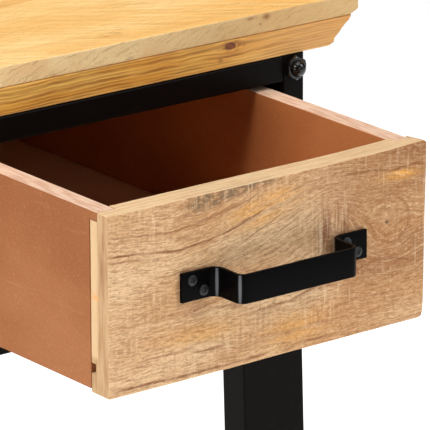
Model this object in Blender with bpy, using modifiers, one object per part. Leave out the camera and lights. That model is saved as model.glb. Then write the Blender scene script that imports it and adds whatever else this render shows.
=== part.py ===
"""Side table with one drawer: a two-layer mango wood top on a black steel frame.

Units are metres and +Z is up. The drawer front faces -Y and +X is to the right of it. The origin is
on the floor, in the middle of the bounding box, with the drawer pulled out by DRAWER_OPEN.
"""

import math

import bmesh
import bpy
from mathutils import Matrix

GAP = 0.0003  # air left between two pieces that touch

# Overall size
HEIGHT = 0.510
TOP_WIDTH = 0.340
TOP_DEPTH = 0.430

# Tabletop: two layers, both ends undercut by one 45 degree saw cut
UPPER_THICKNESS = 0.0118
LOWER_THICKNESS = 0.016
UPPER_CHAMFER = 0.0035
TOP_ARRIS = 0.0006

# Frame of square steel tube
TUBE = 0.015
TUBE_WALL = 0.0012
TUBE_RADIUS = 0.0013
INNER_RADIUS = 0.0004
OPENING_WIDTH = 0.2285
OPENING_HEIGHT = 0.1066
SHEET = 0.0015

# Legs of rectangular steel tube, splayed sideways
LEG_WIDTH = 0.0435
LEG_DEPTH = 0.0205
LEG_WALL = 0.0014
LEG_RADIUS = 0.0012
LEG_INSET = 0.0015
LEG_SPLAY = math.radians(1.6)
CAP_FLANGE = 0.004
CAP_PLUG = 0.014

# Angle iron runners under the drawer, behind its closed front
RUNNER_FLANGE = 0.015
RUNNER_THICKNESS = 0.0023
RUNNER_GUIDE = 0.002
RUNNER_SETBACK = 0.0165
RUNNER_BEARING = 0.003

# Drawer: its front board is sawn slightly out of square and hangs a little below the sides
FRONT_WIDTH = 0.214
FRONT_HEIGHT = 0.0993
FRONT_DROP_LEFT = 0.0020
FRONT_DROP_RIGHT = 0.0009
FRONT_RISE_X = 0.080
FRONT_RISE_INNER = 0.0010
FRONT_RISE_RIGHT = 0.0021
FRONT_OVERHANG_LOW = 0.0015
FRONT_OVERHANG_HIGH = 0.0024
FRONT_THICKNESS = 0.016
FRONT_ARRIS = 0.0009
SIDE_THICKNESS = 0.012
TONGUE_LENGTH = 0.0068
TONGUE_HEIGHT = 0.0052
BACK_HEIGHT = 0.090
BOTTOM_THICKNESS = 0.0054
GROOVE_LOW = 0.009
GROOVE_DEPTH = 0.0044
DRAWER_LIFT = 0.0041
DRAWER_OPEN = 0.1328
DRAWER_STOP_CLEARANCE = 0.0005

# Strap handle, bent from flat bar
STRAP_WIDTH = 0.0164
STRAP_THICKNESS = 0.002
HANDLE_HALF_LENGTH = 0.0629
HANDLE_BAR_HALF = 0.0404
HANDLE_STANDOFF = 0.0240
HANDLE_OFFSET = 0.0026
HANDLE_HEIGHT = 0.0508
FOOT_BEND = 0.006
BAR_BEND = 0.004
BEND_STEPS = 6

# Handle screws: pan heads, two on each foot
SCREW_HEAD_RADIUS = 0.003
SCREW_HEAD_HEIGHT = 0.0011
SCREW_CROWN = ((0.0, 1.0), (0.55, 0.95), (0.90, 0.60))
SCREW_SHANK_RADIUS = 0.0015
SCREW_LENGTH = 0.014
SCREW_FOOT_CENTRE = 0.0525
SCREW_SPREAD_X = 0.0038
SCREW_SPREAD_Z = 0.0034

# Frame bolts: hexagon with a domed end, one in each corner of the front and rear frames
BOLT_ACROSS_FLATS = 0.0126
BOLT_HEX_HEIGHT = 0.0037
BOLT_DOME_RADIUS = 0.0047
BOLT_HEIGHT = 0.0084
BOLT_SHANK_RADIUS = 0.0025
BOLT_SHANK_LENGTH = 0.024

# Tabletop screws, up through the side rails
TOP_SCREW_HEAD_RADIUS = 0.004
TOP_SCREW_HEAD_HEIGHT = 0.0024
TOP_SCREW_TAPER = 0.8
TOP_SCREW_SHANK_RADIUS = 0.002
TOP_SCREW_LENGTH = 0.026
TOP_SCREW_Y = 0.120

HOLE_CLEARANCE = 0.0003
SMOOTH_ANGLE = 35
FLAT = math.radians(0.05)
SCREW_SMOOTH_ANGLE = 50
CORNER_STEPS = 3
TURN_STEPS = 16
DOME_STEPS = 5

# Derived places
FRAME_WIDTH = OPENING_WIDTH + 2 * TUBE
FRAME_HEIGHT = OPENING_HEIGHT + 2 * TUBE
FRONT_Y = (DRAWER_OPEN + HANDLE_STANDOFF - TOP_DEPTH - BOLT_HEIGHT) / 2
REAR_Y = FRONT_Y + TOP_DEPTH
MIDDLE_Y = (FRONT_Y + REAR_Y) / 2
LOWER_BOARD_BASE = HEIGHT - UPPER_THICKNESS - LOWER_THICKNESS
FRAME_TOP = LOWER_BOARD_BASE - GAP
FRAME_BASE = FRAME_TOP - FRAME_HEIGHT
TOP_RAIL_Z = FRAME_TOP - TUBE / 2
BOTTOM_RAIL_Z = FRAME_BASE + TUBE / 2
OPENING_MIDDLE_Z = (TOP_RAIL_Z + BOTTOM_RAIL_Z) / 2
SIDE_RAIL_X = (FRAME_WIDTH - TUBE) / 2
SIDE_RAIL_LENGTH = TOP_DEPTH - 2 * TUBE - 2 * GAP
DRAWER_FACE_Y = FRONT_Y - DRAWER_OPEN
DRAWER_BASE = FRAME_BASE + TUBE + DRAWER_LIFT
BACK_PANEL_Y = REAR_Y - TUBE / 2
DRAWER_DEPTH = TOP_DEPTH - TUBE / 2 - SHEET / 2 - DRAWER_STOP_CLEARANCE
INNER_HALF = FRONT_WIDTH / 2 - SIDE_THICKNESS

ALONG_X = (0, math.pi / 2, 0)
ALONG_Y = (math.pi / 2, 0, 0)
UPRIGHT = (0, 0, 0)


def clear_scene():
    for item in list(bpy.data.objects):
        bpy.data.objects.remove(item, do_unlink=True)


def make_collection(name):
    collection = bpy.data.collections.new(name)
    bpy.context.scene.collection.children.link(collection)
    return collection


def make_material(name, colour, roughness, metallic=0.0):
    material = bpy.data.materials.new(name)
    material.use_nodes = True
    shader = material.node_tree.nodes["Principled BSDF"]
    shader.inputs["Base Color"].default_value = (*colour, 1.0)
    shader.inputs["Roughness"].default_value = roughness
    shader.inputs["Metallic"].default_value = metallic
    return material


clear_scene()
PARTS = make_collection("side_table_with_drawer")
CUTTERS = make_collection("cutters")

MANGO_TOP = make_material("mango_top", (0.78, 0.56, 0.30), 0.60)
MANGO_EDGE = make_material("mango_edge", (0.55, 0.29, 0.09), 0.45)
MANGO_FRONT = make_material("mango_front", (0.68, 0.43, 0.22), 0.65)
FIBREBOARD = make_material("fibreboard", (0.42, 0.19, 0.08), 0.80)
BOTTOM_BOARD = make_material("bottom_board", (0.22, 0.13, 0.08), 0.85)
BLACK_STEEL = make_material("black_steel", (0.010, 0.009, 0.008), 0.35, 0.1)
BLACK_HANDLE = make_material("black_handle", (0.008, 0.008, 0.009), 0.28, 0.2)
SCREW_STEEL = make_material("screw_steel", (0.06, 0.06, 0.06), 0.40, 0.8)
BLACK_PLASTIC = make_material("black_plastic", (0.012, 0.012, 0.012), 0.55)


def place(name, mesh, material, location, rotation=UPRIGHT, parent=None):
    """Link one finished piece into the parts collection."""
    piece = bpy.data.objects.new(name, mesh)
    mesh.materials.clear()
    mesh.materials.append(material)
    PARTS.objects.link(piece)
    piece.location = location
    piece.rotation_euler = rotation
    piece.parent = parent
    return piece


def evaluated_mesh(item, name):
    """The mesh of an object as its modifiers or its curve make it; the object is removed."""
    graph = bpy.context.evaluated_depsgraph_get()
    mesh = bpy.data.meshes.new_from_object(item.evaluated_get(graph))
    mesh.name = name
    bpy.data.objects.remove(item, do_unlink=True)
    return mesh


def box_mesh(name, size):
    shape = bmesh.new()
    bmesh.ops.create_cube(shape, size=1.0)
    bmesh.ops.scale(shape, vec=size, verts=shape.verts)
    mesh = bpy.data.meshes.new(name)
    shape.to_mesh(mesh)
    shape.free()
    return mesh


def rounded_rectangle(width, height, radius):
    """Outline of a tube section, anticlockwise from the corner at +X +Y."""
    points = []
    for quarter, (side_x, side_y) in enumerate(((1, 1), (-1, 1), (-1, -1), (1, -1))):
        centre_x = side_x * (width / 2 - radius)
        centre_y = side_y * (height / 2 - radius)
        for step in range(CORNER_STEPS + 1):
            angle = math.radians(90) * (quarter + step / CORNER_STEPS)
            x = centre_x + radius * math.cos(angle)
            y = centre_y + radius * math.sin(angle)
            points.append((x, y))
    return points


def prism_mesh(name, outlines, length):
    """Closed solid from flat outlines in XY, extruded along Z; an inner outline is a hole."""
    curve = bpy.data.curves.new(name, "CURVE")
    curve.dimensions = "2D"
    curve.fill_mode = "BOTH"
    curve.extrude = length / 2
    for outline in outlines:
        spline = curve.splines.new("POLY")
        spline.points.add(len(outline) - 1)
        for point, (x, y) in zip(spline.points, outline):
            point.co = (x, y, 0, 1)
        spline.use_cyclic_u = True
    flat = bpy.data.objects.new(name, curve)
    bpy.context.scene.collection.objects.link(flat)
    mesh = evaluated_mesh(flat, name)
    shape = bmesh.new()
    shape.from_mesh(mesh)
    bmesh.ops.remove_doubles(shape, verts=shape.verts, dist=0.00001)
    if len(outlines) == 1:
        flat_edges = [edge for edge in shape.edges if edge.calc_face_angle(1.0) < FLAT]
        bmesh.ops.dissolve_edges(shape, edges=flat_edges, use_verts=False)
    bmesh.ops.recalc_face_normals(shape, faces=shape.faces)
    shape.to_mesh(mesh)
    shape.free()
    return mesh


def tube_mesh(name, width, depth, wall, radius, length):
    outer = rounded_rectangle(width, depth, radius)
    inner = rounded_rectangle(width - 2 * wall, depth - 2 * wall, max(radius - wall, INNER_RADIUS))
    return prism_mesh(name, (outer, inner), length)


def turned_mesh(name, profile):
    """Solid of revolution about Z. The profile is (radius, height), from the top to the bottom."""
    outline = bpy.data.meshes.new(name + "_profile")
    shape = bmesh.new()
    points = [shape.verts.new((radius, 0, height)) for radius, height in profile]
    for first, second in zip(points, points[1:]):
        shape.edges.new((first, second))
    shape.to_mesh(outline)
    shape.free()
    turning = bpy.data.objects.new(name, outline)
    bpy.context.scene.collection.objects.link(turning)
    screw = turning.modifiers.new("turn", "SCREW")
    screw.axis = "Z"
    screw.steps = TURN_STEPS
    screw.render_steps = TURN_STEPS
    screw.use_merge_vertices = True
    screw.merge_threshold = 0.00001
    return evaluated_mesh(turning, name)


def joined_mesh(name, meshes):
    """Boolean union of closed meshes that share one origin."""
    base = bpy.data.objects.new(name, meshes[0])
    bpy.context.scene.collection.objects.link(base)
    helpers = []
    for mesh in meshes[1:]:
        helper = bpy.data.objects.new(name + "_joined", mesh)
        bpy.context.scene.collection.objects.link(helper)
        union = base.modifiers.new("join", "BOOLEAN")
        union.operation = "UNION"
        union.object = helper
        helpers.append(helper)
    mesh = evaluated_mesh(base, name)
    for helper in helpers:
        bpy.data.objects.remove(helper, do_unlink=True)
    return mesh


def smooth(mesh, degrees=SMOOTH_ANGLE):
    mesh.shade_smooth()
    mesh.set_sharp_from_angle(angle=math.radians(degrees))


def round_edges(piece, width, segments=2):
    bevel = piece.modifiers.new("arris", "BEVEL")
    bevel.width = width
    bevel.segments = segments
    bevel.limit_method = "ANGLE"


def cutter(name, mesh, location, rotation=UPRIGHT, parent=None):
    tool = bpy.data.objects.new(name, mesh)
    CUTTERS.objects.link(tool)
    tool.location = location
    tool.rotation_euler = rotation
    tool.parent = parent
    tool.hide_render = True
    tool.display_type = "WIRE"
    return tool


def cut(piece, tool):
    removal = piece.modifiers.new(tool.name, "BOOLEAN")
    removal.operation = "DIFFERENCE"
    removal.object = tool


def rod_mesh(name, radius, length):
    shape = bmesh.new()
    bmesh.ops.create_cone(
        shape,
        cap_ends=True,
        segments=TURN_STEPS,
        radius1=radius,
        radius2=radius,
        depth=length,
    )
    mesh = bpy.data.meshes.new(name)
    shape.to_mesh(mesh)
    shape.free()
    return mesh


def make_tabletop(drills):
    """Two glued layers. The end cut starts in the upper layer and goes on through the lower one."""
    half = TOP_WIDTH / 2
    thickness = UPPER_THICKNESS
    upper_outline = (
        (half, thickness),
        (-half, thickness),
        (-half, UPPER_CHAMFER),
        (-half + UPPER_CHAMFER, 0),
        (half - UPPER_CHAMFER, 0),
        (half, UPPER_CHAMFER),
    )
    upper_mesh = prism_mesh("tabletop_upper_board", (upper_outline,), TOP_DEPTH)
    upper_base = (0, MIDDLE_Y, HEIGHT - UPPER_THICKNESS)
    upper = place("tabletop_upper_board", upper_mesh, MANGO_TOP, upper_base, ALONG_Y)
    round_edges(upper, TOP_ARRIS)

    seam_half = half - UPPER_CHAMFER
    depth = LOWER_THICKNESS - GAP
    lower_outline = (
        (seam_half, depth),
        (-seam_half, depth),
        (-seam_half + depth, 0),
        (seam_half - depth, 0),
    )
    lower_mesh = prism_mesh("tabletop_lower_board", (lower_outline,), TOP_DEPTH)
    lower_base = (0, MIDDLE_Y, LOWER_BOARD_BASE)
    lower = place("tabletop_lower_board", lower_mesh, MANGO_EDGE, lower_base, ALONG_Y)
    for tool in drills:
        cut(lower, tool)


def top_screw_places():
    for side, side_name in ((-1, "left"), (1, "right")):
        for end, end_name in ((-1, "front"), (1, "rear")):
            y = MIDDLE_Y + end * TOP_SCREW_Y
            yield side, f"{end_name}_{side_name}", (side * SIDE_RAIL_X, y, FRAME_TOP - TUBE)


def top_screw_holes():
    """One drill through the rail and into the lower board at each tabletop screw."""
    radius = TOP_SCREW_SHANK_RADIUS + HOLE_CLEARANCE
    reach = TOP_SCREW_LENGTH + HOLE_CLEARANCE
    mesh = rod_mesh("top_screw_drill", radius, 2 * reach)
    return [cutter(f"top_drill_{name}", mesh, spot) for _, name, spot in top_screw_places()]


def make_top_screws():
    profile = (
        (0, TOP_SCREW_LENGTH),
        (TOP_SCREW_SHANK_RADIUS, TOP_SCREW_LENGTH),
        (TOP_SCREW_SHANK_RADIUS, -GAP),
        (TOP_SCREW_HEAD_RADIUS, -GAP),
        (TOP_SCREW_HEAD_RADIUS * TOP_SCREW_TAPER, -TOP_SCREW_HEAD_HEIGHT),
        (0, -TOP_SCREW_HEAD_HEIGHT),
    )
    mesh = turned_mesh("top_screw", profile)
    smooth(mesh)
    for _, name, location in top_screw_places():
        place(f"tabletop_screw_{name}", mesh, SCREW_STEEL, location)


def make_end_frame(end_name, y, outward):
    """Two uprights and two rails in one plane, drilled for the corner bolts."""
    upright_mesh = tube_mesh("upright", TUBE, TUBE, TUBE_WALL, TUBE_RADIUS, FRAME_HEIGHT)
    drill_mesh = rod_mesh("bolt_drill", BOLT_SHANK_RADIUS + HOLE_CLEARANCE, 2 * TUBE)
    for side, side_name in ((-1, "left"), (1, "right")):
        location = (side * SIDE_RAIL_X, y, OPENING_MIDDLE_Z)
        name = f"{end_name}_{side_name}_upright"
        upright = place(name, upright_mesh, BLACK_STEEL, location)
        for level, z in (("top", TOP_RAIL_Z), ("bottom", BOTTOM_RAIL_Z)):
            tool = cutter(f"{name}_{level}_drill", drill_mesh, (location[0], y, z), ALONG_Y)
            cut(upright, tool)
    rail_length = OPENING_WIDTH - 2 * GAP
    rail_mesh = tube_mesh("cross_rail", TUBE, TUBE, TUBE_WALL, TUBE_RADIUS, rail_length)
    for level, z in (("top", TOP_RAIL_Z), ("bottom", BOTTOM_RAIL_Z)):
        place(f"{end_name}_{level}_rail", rail_mesh, BLACK_STEEL, (0, y, z), ALONG_X)
    make_frame_bolts(end_name, y + outward * TUBE / 2, outward)


def bolt_mesh():
    """Hexagon, dome and shank about Z, with the seat at the height GAP."""
    dome_centre = BOLT_HEIGHT - BOLT_DOME_RADIUS
    profile = []
    for step in range(DOME_STEPS + 1):
        angle = math.radians(90) * (1 - step / DOME_STEPS)
        radius = BOLT_DOME_RADIUS * math.cos(angle)
        profile.append((radius, dome_centre + BOLT_DOME_RADIUS * math.sin(angle)))
    profile[0] = (0, BOLT_HEIGHT)
    profile.append((BOLT_DOME_RADIUS, BOLT_HEX_HEIGHT / 2))
    profile.append((BOLT_SHANK_RADIUS, BOLT_HEX_HEIGHT / 2))
    profile.append((BOLT_SHANK_RADIUS, -BOLT_SHANK_LENGTH))
    profile.append((0, -BOLT_SHANK_LENGTH))
    turned = turned_mesh("bolt_dome", profile)
    hexagon = bmesh.new()
    corner_radius = BOLT_ACROSS_FLATS / math.sqrt(3)
    bmesh.ops.create_cone(
        hexagon,
        cap_ends=True,
        segments=6,
        radius1=corner_radius,
        radius2=corner_radius,
        depth=BOLT_HEX_HEIGHT - GAP,
    )
    middle = (BOLT_HEX_HEIGHT + GAP) / 2
    bmesh.ops.translate(hexagon, vec=(0, 0, middle), verts=hexagon.verts)
    head = bpy.data.meshes.new("bolt_hexagon")
    hexagon.to_mesh(head)
    hexagon.free()
    mesh = joined_mesh("frame_bolt", (head, turned))
    smooth(mesh)
    return mesh


def make_frame_bolts(end_name, y, outward):
    mesh = bolt_mesh()
    rotation = (-outward * math.pi / 2, 0, 0)
    for side, side_name in ((-1, "left"), (1, "right")):
        for level, z in (("top", TOP_RAIL_Z), ("bottom", BOTTOM_RAIL_Z)):
            name = f"bolt_{end_name}_{side_name}_{level}"
            place(name, mesh, BLACK_STEEL, (side * SIDE_RAIL_X, y, z), rotation)


def make_side_rails(drills):
    mesh = tube_mesh("side_rail", TUBE, TUBE, TUBE_WALL, TUBE_RADIUS, SIDE_RAIL_LENGTH)
    top_mesh = mesh.copy()
    for side, side_name in ((-1, "left"), (1, "right")):
        x = side * SIDE_RAIL_X
        top_place = (x, MIDDLE_Y, TOP_RAIL_Z)
        top_rail = place(f"{side_name}_top_rail", top_mesh, BLACK_STEEL, top_place, ALONG_Y)
        for tool in drills:
            if tool.location.x * side > 0:
                cut(top_rail, tool)
        place(f"{side_name}_bottom_rail", mesh, BLACK_STEEL, (x, MIDDLE_Y, BOTTOM_RAIL_Z), ALONG_Y)


def make_panels():
    """Sheet steel that closes the drawer compartment; the rear sheet is also the drawer's stop."""
    height = OPENING_HEIGHT - 2 * GAP
    side_mesh = box_mesh("side_panel", (SHEET, SIDE_RAIL_LENGTH, height))
    for side, side_name in ((-1, "left"), (1, "right")):
        x = side * (OPENING_WIDTH / 2 + GAP + SHEET / 2)
        place(f"{side_name}_side_panel", side_mesh, BLACK_STEEL, (x, MIDDLE_Y, OPENING_MIDDLE_Z))
    back_mesh = box_mesh("back_panel", (OPENING_WIDTH - 2 * GAP, SHEET, height))
    place("back_panel", back_mesh, BLACK_STEEL, (0, BACK_PANEL_Y, OPENING_MIDDLE_Z))


def make_runners():
    """Angle irons against the side panels: a flange under the drawer and a guide beside it."""
    start = FRONT_Y + RUNNER_SETBACK
    length = REAR_Y - TUBE + RUNNER_BEARING - start
    flange = RUNNER_FLANGE
    for side, side_name in ((-1, "left"), (1, "right")):
        outline = (
            (0, 0),
            (-side * flange, 0),
            (-side * flange, RUNNER_THICKNESS),
            (-side * RUNNER_GUIDE, RUNNER_THICKNESS),
            (-side * RUNNER_GUIDE, flange),
            (0, flange),
        )
        mesh = prism_mesh(f"{side_name}_runner", (outline,), length)
        x = side * (OPENING_WIDTH / 2 - GAP)
        location = (x, start + length / 2, FRAME_BASE + TUBE + GAP)
        place(f"{side_name}_runner", mesh, BLACK_STEEL, location, ALONG_Y)


def leg_mesh(side, length):
    """Upright tube sheared sideways, so that both of its ends stay level. Its top is at Z 0."""
    mesh = tube_mesh("leg", LEG_WIDTH, LEG_DEPTH, LEG_WALL, LEG_RADIUS, length)
    mesh.transform(Matrix.Translation((0, 0, -length / 2)))
    mesh.transform(Matrix.Shear("XY", 4, (-side * math.tan(LEG_SPLAY), 0)))
    return mesh


def foot_cap_mesh(side):
    """Plastic end cap: a flange under the tube and a plug inside it. The flange's top is at Z 0."""
    outer = rounded_rectangle(LEG_WIDTH, LEG_DEPTH, LEG_RADIUS)
    flange = prism_mesh("cap_flange", (outer,), CAP_FLANGE - GAP)
    flange.transform(Matrix.Translation((0, 0, -(CAP_FLANGE + GAP) / 2)))
    play = 2 * (LEG_WALL + GAP)
    inner = rounded_rectangle(LEG_WIDTH - play, LEG_DEPTH - play, INNER_RADIUS)
    plug = prism_mesh("cap_plug", (inner,), CAP_PLUG)
    plug.transform(Matrix.Translation((0, 0, CAP_PLUG / 2 - CAP_FLANGE / 2)))
    mesh = joined_mesh("foot_cap", (flange, plug))
    mesh.transform(Matrix.Shear("XY", 4, (-side * math.tan(LEG_SPLAY), 0)))
    return mesh


def make_legs():
    length = FRAME_BASE - GAP - CAP_FLANGE
    spread = length * math.tan(LEG_SPLAY)
    top_x = FRAME_WIDTH / 2 - LEG_INSET - LEG_WIDTH / 2
    for side, side_name in ((-1, "left"), (1, "right")):
        leg = leg_mesh(side, length)
        cap = foot_cap_mesh(side)
        for end_name, y in (("front", FRONT_Y + LEG_DEPTH / 2), ("rear", REAR_Y - LEG_DEPTH / 2)):
            corner = f"{end_name}_{side_name}"
            place(f"{corner}_leg", leg, BLACK_STEEL, (side * top_x, y, FRAME_BASE - GAP))
            foot_place = (side * (top_x + spread), y, CAP_FLANGE)
            place(f"{corner}_foot_cap", cap, BLACK_PLASTIC, foot_place)


def make_slide_empty():
    """The drawer's parent: it lies on the slide axis, level with the runners, at the drawer face."""
    slide = bpy.data.objects.new("drawer_slide", None)
    PARTS.objects.link(slide)
    slide.location = (0, DRAWER_FACE_Y, DRAWER_BASE)
    slide.empty_display_size = 0.05
    return slide


def make_drawer_front(slide):
    half = FRONT_WIDTH / 2
    outline = (
        (-half, -FRONT_DROP_LEFT),
        (half + FRONT_OVERHANG_LOW, -FRONT_DROP_RIGHT),
        (half + FRONT_OVERHANG_HIGH, FRONT_HEIGHT + FRONT_RISE_RIGHT),
        (FRONT_RISE_X, FRONT_HEIGHT + FRONT_RISE_INNER),
        (-half, FRONT_HEIGHT),
    )
    mesh = prism_mesh("drawer_front", (outline,), FRONT_THICKNESS)
    location = (0, FRONT_THICKNESS / 2, 0)
    front = place("drawer_front", mesh, MANGO_FRONT, location, ALONG_Y, slide)
    round_edges(front, FRONT_ARRIS)
    groove_height = BOTTOM_THICKNESS + 2 * GAP
    groove_mesh = box_mesh("front_groove", (2 * FRONT_WIDTH, 2 * GROOVE_DEPTH, groove_height))
    groove_place = (0, FRONT_THICKNESS, GROOVE_LOW + groove_height / 2)
    cut(front, cutter("front_groove", groove_mesh, groove_place, parent=slide))
    inner = half - SIDE_THICKNESS
    for side_name, start, end in (
        ("left", -half - SIDE_THICKNESS, -inner),
        ("right", inner, half + GAP),
    ):
        notch_size = (end - start, 2 * TONGUE_LENGTH, 2 * TONGUE_HEIGHT)
        notch_mesh = box_mesh(f"front_notch_{side_name}", notch_size)
        corner = ((start + end) / 2, FRONT_THICKNESS, FRONT_HEIGHT)
        cut(front, cutter(f"front_notch_{side_name}", notch_mesh, corner, parent=slide))
    return front


def make_drawer_sides(slide):
    """Each side meets the back of the front, and a short tongue at its top laps into the front."""
    start = FRONT_THICKNESS + GAP
    low = FRONT_HEIGHT - TONGUE_HEIGHT + GAP
    outline = (
        (start, 0),
        (DRAWER_DEPTH, 0),
        (DRAWER_DEPTH, FRONT_HEIGHT),
        (start - TONGUE_LENGTH, FRONT_HEIGHT),
        (start - TONGUE_LENGTH, low),
        (start, low),
    )
    groove_height = BOTTOM_THICKNESS + 2 * GAP
    groove_size = (2 * GROOVE_DEPTH, 3 * DRAWER_DEPTH, groove_height)
    groove_mesh = box_mesh("side_groove", groove_size)
    to_side_plane = (math.pi / 2, 0, math.pi / 2)
    thickness = SIDE_THICKNESS - GAP
    for side, side_name in ((-1, "left"), (1, "right")):
        mesh = prism_mesh(f"drawer_{side_name}_side", (outline,), thickness)
        location = (side * (FRONT_WIDTH / 2 - thickness / 2), 0, 0)
        name = f"drawer_{side_name}_side"
        panel = place(name, mesh, FIBREBOARD, location, to_side_plane, slide)
        groove_place = (side * INNER_HALF, 0, GROOVE_LOW + groove_height / 2)
        cut(panel, cutter(f"{side_name}_side_groove", groove_mesh, groove_place, parent=slide))


def make_drawer_back(slide):
    size = (2 * (INNER_HALF - GAP), SIDE_THICKNESS, BACK_HEIGHT)
    mesh = box_mesh("drawer_back", size)
    location = (0, DRAWER_DEPTH - SIDE_THICKNESS / 2, BACK_HEIGHT / 2)
    back = place("drawer_back", mesh, FIBREBOARD, location, parent=slide)
    groove_height = BOTTOM_THICKNESS + 2 * GAP
    groove_mesh = box_mesh("back_groove", (2 * FRONT_WIDTH, 2 * GROOVE_DEPTH, groove_height))
    groove_place = (0, DRAWER_DEPTH - SIDE_THICKNESS, GROOVE_LOW + groove_height / 2)
    cut(back, cutter("back_groove", groove_mesh, groove_place, parent=slide))


def make_drawer_bottom(slide):
    """Thin board held in the grooves of the front, both sides and the back."""
    reach = GROOVE_DEPTH - GAP
    width = 2 * (INNER_HALF + reach)
    start = FRONT_THICKNESS - reach
    end = DRAWER_DEPTH - SIDE_THICKNESS + reach
    mesh = box_mesh("drawer_bottom", (width, end - start, BOTTOM_THICKNESS))
    location = (0, (start + end) / 2, GROOVE_LOW + GAP + BOTTOM_THICKNESS / 2)
    place("drawer_bottom", mesh, BOTTOM_BOARD, location, parent=slide)


def arc(centre_x, centre_y, radius, start, end):
    for step in range(BEND_STEPS + 1):
        angle = math.radians(start + (end - start) * step / BEND_STEPS)
        yield centre_x + radius * math.cos(angle), centre_y + radius * math.sin(angle)


def strap_path():
    """Middle line of the strap seen from above, from the left foot to the right one."""
    foot_y = -GAP - STRAP_THICKNESS / 2
    bar_y = -HANDLE_STANDOFF + STRAP_THICKNESS / 2
    riser_x = HANDLE_BAR_HALF - STRAP_THICKNESS / 2
    left = [(-HANDLE_HALF_LENGTH, foot_y)]
    left += arc(-riser_x - FOOT_BEND, foot_y - FOOT_BEND, FOOT_BEND, 90, 0)
    left += arc(-riser_x + BAR_BEND, bar_y + BAR_BEND, BAR_BEND, 180, 270)
    right = [(-x, y) for x, y in reversed(left)]
    return left + right


def strap_mesh():
    """The strap's path swept upwards into a ribbon, then thickened."""
    curve = bpy.data.curves.new("strap", "CURVE")
    curve.dimensions = "2D"
    curve.fill_mode = "NONE"
    curve.extrude = STRAP_WIDTH / 2
    path = strap_path()
    spline = curve.splines.new("POLY")
    spline.points.add(len(path) - 1)
    for point, (x, y) in zip(spline.points, path):
        point.co = (x, y, 0, 1)
    ribbon = bpy.data.objects.new("strap", curve)
    bpy.context.scene.collection.objects.link(ribbon)
    sheet = bpy.data.objects.new("strap_sheet", evaluated_mesh(ribbon, "strap_ribbon"))
    bpy.context.scene.collection.objects.link(sheet)
    solid = sheet.modifiers.new("thickness", "SOLIDIFY")
    solid.thickness = STRAP_THICKNESS
    solid.offset = 0
    solid.use_even_offset = True
    mesh = evaluated_mesh(sheet, "drawer_handle")
    smooth(mesh)
    return mesh


def handle_screw_places():
    height = HANDLE_HEIGHT
    for side, side_name in ((-1, "left"), (1, "right")):
        foot_x = HANDLE_OFFSET + side * SCREW_FOOT_CENTRE
        for level, level_name in ((1, "upper"), (-1, "lower")):
            x = foot_x - level * SCREW_SPREAD_X
            z = height + level * SCREW_SPREAD_Z
            yield f"{side_name}_{level_name}", (x, -GAP - STRAP_THICKNESS, z)


def make_handle(slide, front):
    location = (HANDLE_OFFSET, 0, HANDLE_HEIGHT)
    handle = place("drawer_handle", strap_mesh(), BLACK_HANDLE, location, parent=slide)
    profile = [(SCREW_HEAD_RADIUS * out, SCREW_HEAD_HEIGHT * up) for out, up in SCREW_CROWN]
    profile += [
        (SCREW_HEAD_RADIUS, GAP),
        (SCREW_SHANK_RADIUS, GAP),
        (SCREW_SHANK_RADIUS, -SCREW_LENGTH),
        (0, -SCREW_LENGTH),
    ]
    screw = turned_mesh("handle_screw", profile)
    smooth(screw, SCREW_SMOOTH_ANGLE)
    drill_radius = SCREW_SHANK_RADIUS + HOLE_CLEARANCE
    drill = rod_mesh("handle_drill", drill_radius, 2 * (SCREW_LENGTH + HOLE_CLEARANCE))
    for name, screw_place in handle_screw_places():
        place(f"handle_screw_{name}", screw, SCREW_STEEL, screw_place, ALONG_Y, slide)
        tool = cutter(f"handle_drill_{name}", drill, screw_place, ALONG_Y, slide)
        cut(handle, tool)
        cut(front, tool)


def make_drawer():
    slide = make_slide_empty()
    front = make_drawer_front(slide)
    make_drawer_sides(slide)
    make_drawer_back(slide)
    make_drawer_bottom(slide)
    make_handle(slide, front)


top_drills = top_screw_holes()
make_tabletop(top_drills)
make_top_screws()
make_end_frame("front", FRONT_Y + TUBE / 2, -1)
make_end_frame("rear", REAR_Y - TUBE / 2, 1)
make_side_rails(top_drills)
make_panels()
make_runners()
make_legs()
make_drawer()
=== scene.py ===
import math

import bmesh
import bpy
from mathutils import Matrix, Vector, noise


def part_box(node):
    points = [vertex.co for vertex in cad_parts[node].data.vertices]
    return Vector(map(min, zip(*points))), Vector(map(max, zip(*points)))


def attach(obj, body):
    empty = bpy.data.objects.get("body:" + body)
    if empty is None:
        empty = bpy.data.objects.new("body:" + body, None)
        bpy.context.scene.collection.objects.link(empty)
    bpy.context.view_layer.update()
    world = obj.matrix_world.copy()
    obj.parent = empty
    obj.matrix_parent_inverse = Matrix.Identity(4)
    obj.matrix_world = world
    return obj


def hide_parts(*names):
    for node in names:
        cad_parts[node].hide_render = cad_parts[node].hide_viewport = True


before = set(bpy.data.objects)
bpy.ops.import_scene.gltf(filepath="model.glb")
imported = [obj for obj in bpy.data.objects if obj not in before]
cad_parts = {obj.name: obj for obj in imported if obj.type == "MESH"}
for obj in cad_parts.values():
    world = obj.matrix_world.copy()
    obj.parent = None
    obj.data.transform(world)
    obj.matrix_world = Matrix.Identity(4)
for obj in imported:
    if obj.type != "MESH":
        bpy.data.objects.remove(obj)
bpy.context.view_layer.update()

# The camera looks at a point on the drawer front, from the front left and from above
VIEW_AZIMUTH = math.radians(-37.44)
VIEW_ELEVATION = math.radians(17.80)
VIEW_DISTANCE = 2.540
VIEW_ROLL = math.radians(-0.18)
LENS = 401.9
SENSOR = 36.0
FAR_CLIP = 60
AIM_ACROSS = 0.0704
AIM_UP = 0.0866

TABLE = "table"
DRAWER = "drawer"

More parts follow.
